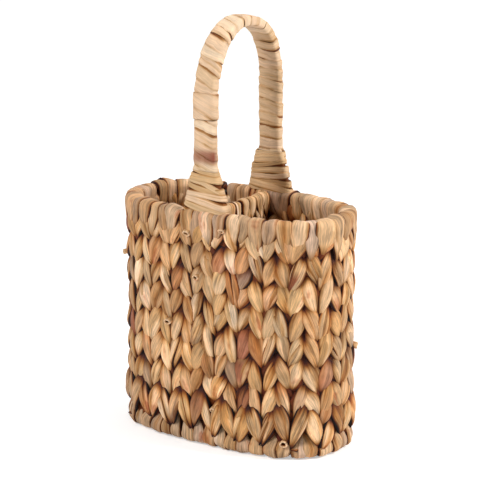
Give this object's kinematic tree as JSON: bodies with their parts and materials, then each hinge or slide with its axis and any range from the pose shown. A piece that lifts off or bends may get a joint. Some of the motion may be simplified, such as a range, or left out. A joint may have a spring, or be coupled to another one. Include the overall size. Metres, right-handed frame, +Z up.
{
  "type": "wine bottle basket",
  "caption": "Rounded oval carrying basket of upright leaf plaits on a wire frame, with a divider for bottles and a fixed wrapped arch handle.",
  "frame": {"origin": "on the ground, at the middle of the base's outline", "axes": "+X along the basket's length, towards one compartment; +Y from the front foot of the handle to the back foot; +Z up"},
  "size_m": [0.2144, 0.112, 0.3689],
  "materials": {
    "leaf_1": "dried water hyacinth leaf, matt with a faint waxy sheen, golden tan",
    "leaf_2": "dried water hyacinth leaf, matt, redder brown",
    "leaf_3": "dried water hyacinth leaf, matt, pale straw",
    "floor_leaf": "dried leaf plaits lying flat, matt brown",
    "strip_leaf": "flat strip of dried leaf, pale peach straw, slightly smoother than the plaits",
    "frame_wire": "plain drawn steel wire, dull"
  },
  "bodies": {
    "root": {"wall_plait_01": "leaf_1", "wall_plait_02": "leaf_2", "wall_plait_03": "leaf_3", "wall_plait_04": "leaf_1", "wall_plait_05": "leaf_2", "wall_plait_06": "leaf_3", "wall_plait_07": "leaf_1", "wall_plait_08": "leaf_2", "wall_plait_09": "leaf_3", "wall_plait_10": "leaf_1", "wall_plait_11": "leaf_2", "wall_plait_12": "leaf_3", "wall_plait_13": "leaf_1", "wall_plait_14": "leaf_2", "wall_plait_15": "leaf_3", "wall_plait_16": "leaf_1", "wall_plait_17": "leaf_2", "wall_plait_18": "leaf_3", "wall_plait_19": "leaf_1", "wall_plait_20": "leaf_2", "wall_plait_21": "leaf_3", "wall_plait_22": "leaf_1", "rim_hoop": "frame_wire", "base_hoop": "frame_wire", "frame_stake_1": "frame_wire", "frame_stake_2": "frame_wire", "frame_stake_3": "frame_wire", "frame_stake_4": "frame_wire", "frame_stake_5": "frame_wire", "frame_stake_6": "frame_wire", "frame_stake_7": "frame_wire", "frame_stake_8": "frame_wire", "base_wire_1": "frame_wire", "base_wire_2": "frame_wire", "base_wire_3": "frame_wire", "base_wire_4": "frame_wire", "base_wire_5": "frame_wire", "divider_rod": "frame_wire", "handle_wire_left": "frame_wire", "handle_wire_right": "frame_wire", "floor_plait_1": "floor_leaf", "floor_plait_2": "floor_leaf", "floor_plait_3": "floor_leaf", "floor_plait_4": "floor_leaf", "divider_plait_1": "leaf_1", "divider_plait_2": "leaf_1", "divider_plait_3": "leaf_1", "divider_plait_4": "leaf_1", "foot_winding_front": "strip_leaf", "handle_winding": "strip_leaf", "foot_winding_back": "strip_leaf"}
  },
  "joints": []
}
